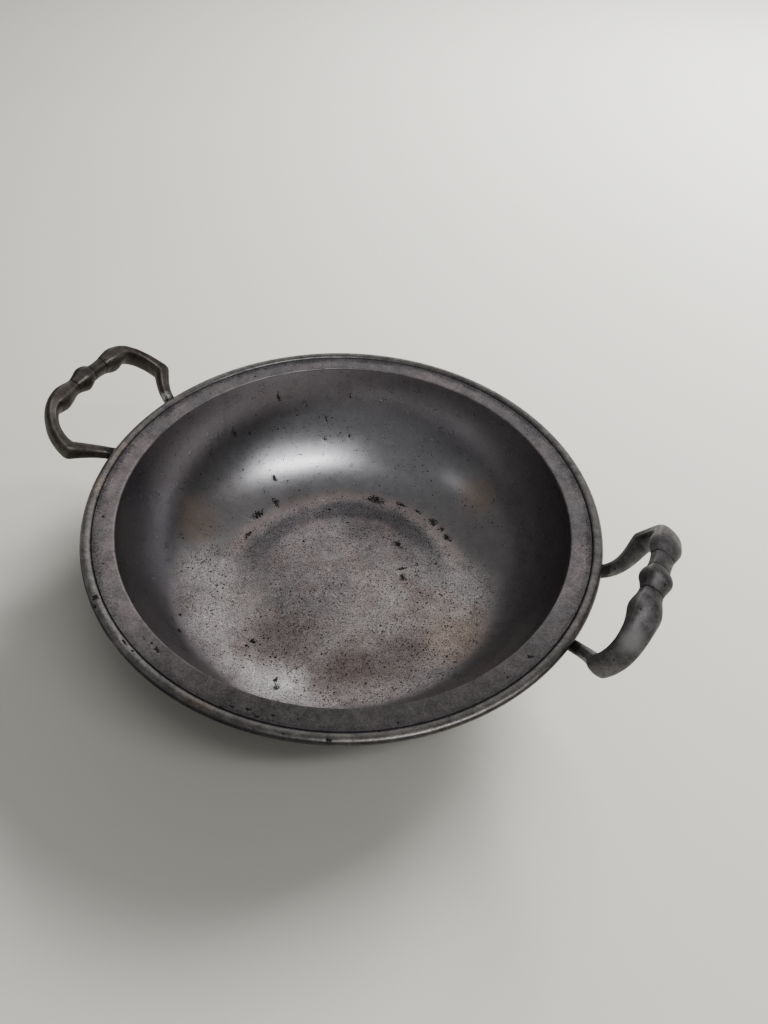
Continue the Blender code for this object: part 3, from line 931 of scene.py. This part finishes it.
def casting_points(stations, normal):
    """The casting's points, one outline at each station, and what the mesh carries at each: how
    worn it is, and how deep in an incised line."""
    centre_line = [station[0] for station in stations]
    middle = sum(centre_line, Vector()) / len(centre_line)
    last = len(stations) - 1
    points, marks = [], {"wear": [], "scar": []}
    for i, (centre, (inner, outer, half_height), cut) in enumerate(stations):
        tangent = (centre_line[min(i + 1, last)] - centre_line[max(i - 1, 0)]).normalized()
        up = (normal - tangent * normal.dot(tangent)).normalized()
        side = tangent.cross(up)
        if side.dot(middle - centre) > 0:
            inward_x = 1.0
        else:
            inward_x = -1.0
        shrink = 1 - CUT_DEPTH * cut
        for x, y, wear in section_outline():
            half_width = inner if x * inward_x > 0 else outer
            sideways = side * (half_width * x * shrink)
            points.append(centre + sideways + up * (half_height * y * shrink))
            marks["wear"].append(wear * (1 - cut))
            marks["scar"].append(cut)
    return points, marks


def tube_faces(count, sides):
    """Faces of a tube of this many outlines, closed at both ends."""
    faces = []
    for i in range(count - 1):
        low, high = i * sides, (i + 1) * sides
        for k in range(sides):
            m = (k + 1) % sides
            faces.append((low + k, low + m, high + m, high + k))
    faces.append(tuple(range(sides)))
    faces.append(tuple(range((count - 1) * sides, count * sides)))
    return faces


def make_handle(label, near, far, material):
    tilt = TILTS[label]
    stations = handle_stations(tilt, near, far)
    points, marks = casting_points(stations, tilted_plane(tilt)[2])
    name = f"handle_{label}_casting"
    mesh = bpy.data.meshes.new(name)
    faces = tube_faces(len(stations), len(section_outline()))
    mesh.from_pydata([tuple(p) for p in points], [], faces)
    for mark, values in marks.items():
        attribute = mesh.attributes.new(mark, "FLOAT", "POINT")
        attribute.data.foreach_set("value", np.array(values, np.float32))
    mesh.transform(Matrix.Rotation(TURNS[label], 4, "Z"))
    mesh.materials.append(material)
    return add_piece(name, mesh, f"handle_{label}", sharp=22)


# ---------------------------------------------------------------- solder

PAD_SIDES = 48
PAD_RINGS = 22
PAD_HALF_WIDTH = 0.0078
PAD_RISE = 0.0036
PAD_DROP = 0.0068
PAD_SINK = 0.0002  # how far a pad goes into the wall
PAD_PAST_ROOT = 0.0026  # how far a pad goes along the arm
LUMPS_PER_METRE = 330
LUMP_HEIGHT = 0.00035


def pad_points(root_angle):
    """A solder pad's points before its lumps: rings from the wall out along the arm."""
    arm_width, _, arm_height = ROOT_HALF_SIZE
    points = []
    for i in range(PAD_RINGS + 1):
        part = i / PAD_RINGS
        flare = (1 - part) ** 2
        half_width = arm_width * 1.12 + (PAD_HALF_WIDTH - arm_width) * flare
        rise = arm_height * 1.05 + (PAD_RISE - arm_height) * flare
        drop = arm_height * 1.12 + (PAD_DROP - arm_height) * flare
        for k in range(PAD_SIDES):
            angle = 2 * math.pi * k / PAD_SIDES
            spread = rise if angle < math.pi else drop
            height = RIM_HEIGHT - ROOT_DEPTH + spread * math.sin(angle)
            sideways = half_width * math.cos(angle)
            wall = outer_wall_radius(min(height, RIM_HEIGHT - RIM_THICKNESS)) - PAD_SINK
            radius = wall + (ROOT_RADIUS + PAD_PAST_ROOT - wall) * part
            turn = root_angle + sideways / radius
            points.append(Vector((radius * math.cos(turn), radius * math.sin(turn), height)))
    return points


def make_solder(label, end, root_angle, material):
    """A lumpy pad of solder between an arm's end and the wall."""
    name = f"solder_{label}_{end}"
    mesh = bpy.data.meshes.new(f"{name}_pad")
    points = pad_points(root_angle)
    mesh.from_pydata([tuple(p) for p in points], [], tube_faces(PAD_RINGS + 1, PAD_SIDES))
    shape = bmesh.new()
    shape.from_mesh(mesh)
    bmesh.ops.recalc_face_normals(shape, faces=shape.faces)
    shape.normal_update()
    for v in shape.verts:
        place = v.co * LUMPS_PER_METRE + Vector((3.0, len(label), 1.0))
        v.co += v.normal * (LUMP_HEIGHT * noise.fractal(place, 0.8, 2.0, 3))
    shape.to_mesh(mesh)
    shape.free()
    mesh.transform(Matrix.Rotation(TURNS[label], 4, "Z"))
    mesh.materials.append(material)
    return add_piece(f"{name}_pad", mesh, name, sharp=60)


# ---------------------------------------------------------------- stage


def aim(obj, place, target):
    obj.location = place
    direction = Vector(target) - Vector(place)
    obj.rotation_mode = "QUATERNION"
    obj.rotation_quaternion = direction.to_track_quat("-Z", "Y")


def sky_place(azimuth, elevation, distance):
    """A point seen from the bowl: azimuth 0 is towards -Y and 90 towards +X."""
    a, e = math.radians(azimuth), math.radians(elevation)
    return Vector((math.sin(a) * math.cos(e), -math.cos(a) * math.cos(e), math.sin(e))) * distance


def soft_box(name, azimuth, elevation, distance, size, power, lean=0.0, target=BOWL_MIDDLE):
    """A rectangular light, its place as sky_place has it, turned by lean degrees about its aim."""
    light = bpy.data.lights.new(name, "AREA")
    light.shape = "RECTANGLE"
    light.size, light.size_y = size
    light.energy = power
    lamp = bpy.data.objects.new(name, light)
    bpy.context.scene.collection.objects.link(lamp)
    aim(lamp, sky_place(azimuth, elevation, distance), target)
    lamp.rotation_quaternion @= Quaternion((0.0, 0.0, 1.0), math.radians(lean))
    lamp.visible_camera = False
    return lamp


def make_world():
    """A soft room: bright behind the bowl, and dark overhead and on the camera's side."""
    world = bpy.data.worlds.new("studio")
    world.use_nodes = True
    tree = world.node_tree
    background = tree.nodes["Background"]
    direction = tree.nodes.new("ShaderNodeTexCoord").outputs["Generated"]
    ahead = tree.nodes.new("ShaderNodeVectorMath")
    ahead.operation = "DOT_PRODUCT"
    ahead.inputs[1].default_value = sky_place(BRIGHT_AZIMUTH, BRIGHT_ELEVATION, 1.0)
    spread = tree.nodes.new("ShaderNodeMapRange")
    spread.interpolation_type = "SMOOTHSTEP"
    spread.inputs["From Min"].default_value = ROOM_EDGE
    spread.inputs["From Max"].default_value = 1.0
    spread.inputs["To Min"].default_value = ROOM_DARK
    spread.inputs["To Max"].default_value = ROOM_BRIGHT
    tree.links.new(direction, ahead.inputs[0])
    tree.links.new(ahead.outputs["Value"], spread.inputs["Value"])
    tree.links.new(spread.outputs["Result"], background.inputs["Strength"])
    background.inputs["Color"].default_value = rgb(0.985, 0.980, 0.985)
    bpy.context.scene.world = world


def make_lights():
    """The room, a window at the right with the glow round it, a small one, and the table's light."""
    soft_box("window", 69, 59, 1.3, (0.68, 0.11), 5.5, lean=-34)
    soft_box("window_glow", 67, 54, 1.3, (1.10, 0.70), 3.6, lean=-34)
    soft_box("small_window", -50, 40, 1.4, (0.20, 0.20), 0.17)
    table_light = soft_box("table_light", 162, 38, 1.5, (0.80, 0.60), 92.0, target=TABLE_MIDDLE)
    table_light.visible_glossy = False  # so that the metal doesn't show it
    make_world()


def make_stage():
    mesh = bpy.data.meshes.new("table_top")
    half = TABLE_SIZE / 2
    corners = [(-half, -half, 0), (half, -half, 0), (half, half, 0), (-half, half, 0)]
    mesh.from_pydata(corners, [], [(0, 1, 2, 3)])
    mesh.materials.append(table_paint())
    table = bpy.data.objects.new("table_top", mesh)
    table.location.z = -TABLE_DROP
    bpy.context.scene.collection.objects.link(table)


def make_camera():
    """The camera, by its heading, its downward pitch and its roll."""
    level = Vector((math.sin(CAMERA_YAW), math.cos(CAMERA_YAW), 0.0))
    forward = level * math.cos(CAMERA_PITCH) - Vector((0, 0, math.sin(CAMERA_PITCH)))
    right = Vector((math.cos(CAMERA_YAW), -math.sin(CAMERA_YAW), 0.0))
    up = right.cross(forward)
    rolled_right = right * math.cos(CAMERA_ROLL) + up * math.sin(CAMERA_ROLL)
    rolled_up = up * math.cos(CAMERA_ROLL) - right * math.sin(CAMERA_ROLL)
    lens = bpy.data.cameras.new("camera")
    lens.lens = CAMERA_LENS
    lens.clip_start = 0.01
    camera = bpy.data.objects.new("camera", lens)
    bpy.context.scene.collection.objects.link(camera)
    axes = Matrix((rolled_right, rolled_up, -forward)).transposed()
    camera.matrix_world = Matrix.Translation(CAMERA_PLACE) @ axes.to_4x4()
    bpy.context.scene.camera = camera


def main():
    make_camera()
    make_stage()
    make_lights()
    make_bowl()
    casting = handle_pewter()
    solder = black_solder()
    for label, side in (("right", 1), ("left", -1)):
        near, far = NEAR_ROOT_ANGLE * side, FAR_ROOT_ANGLE * side
        make_handle(label, near, far, casting)
        make_solder(label, "near", near, solder)
        make_solder(label, "far", far, solder)


main()
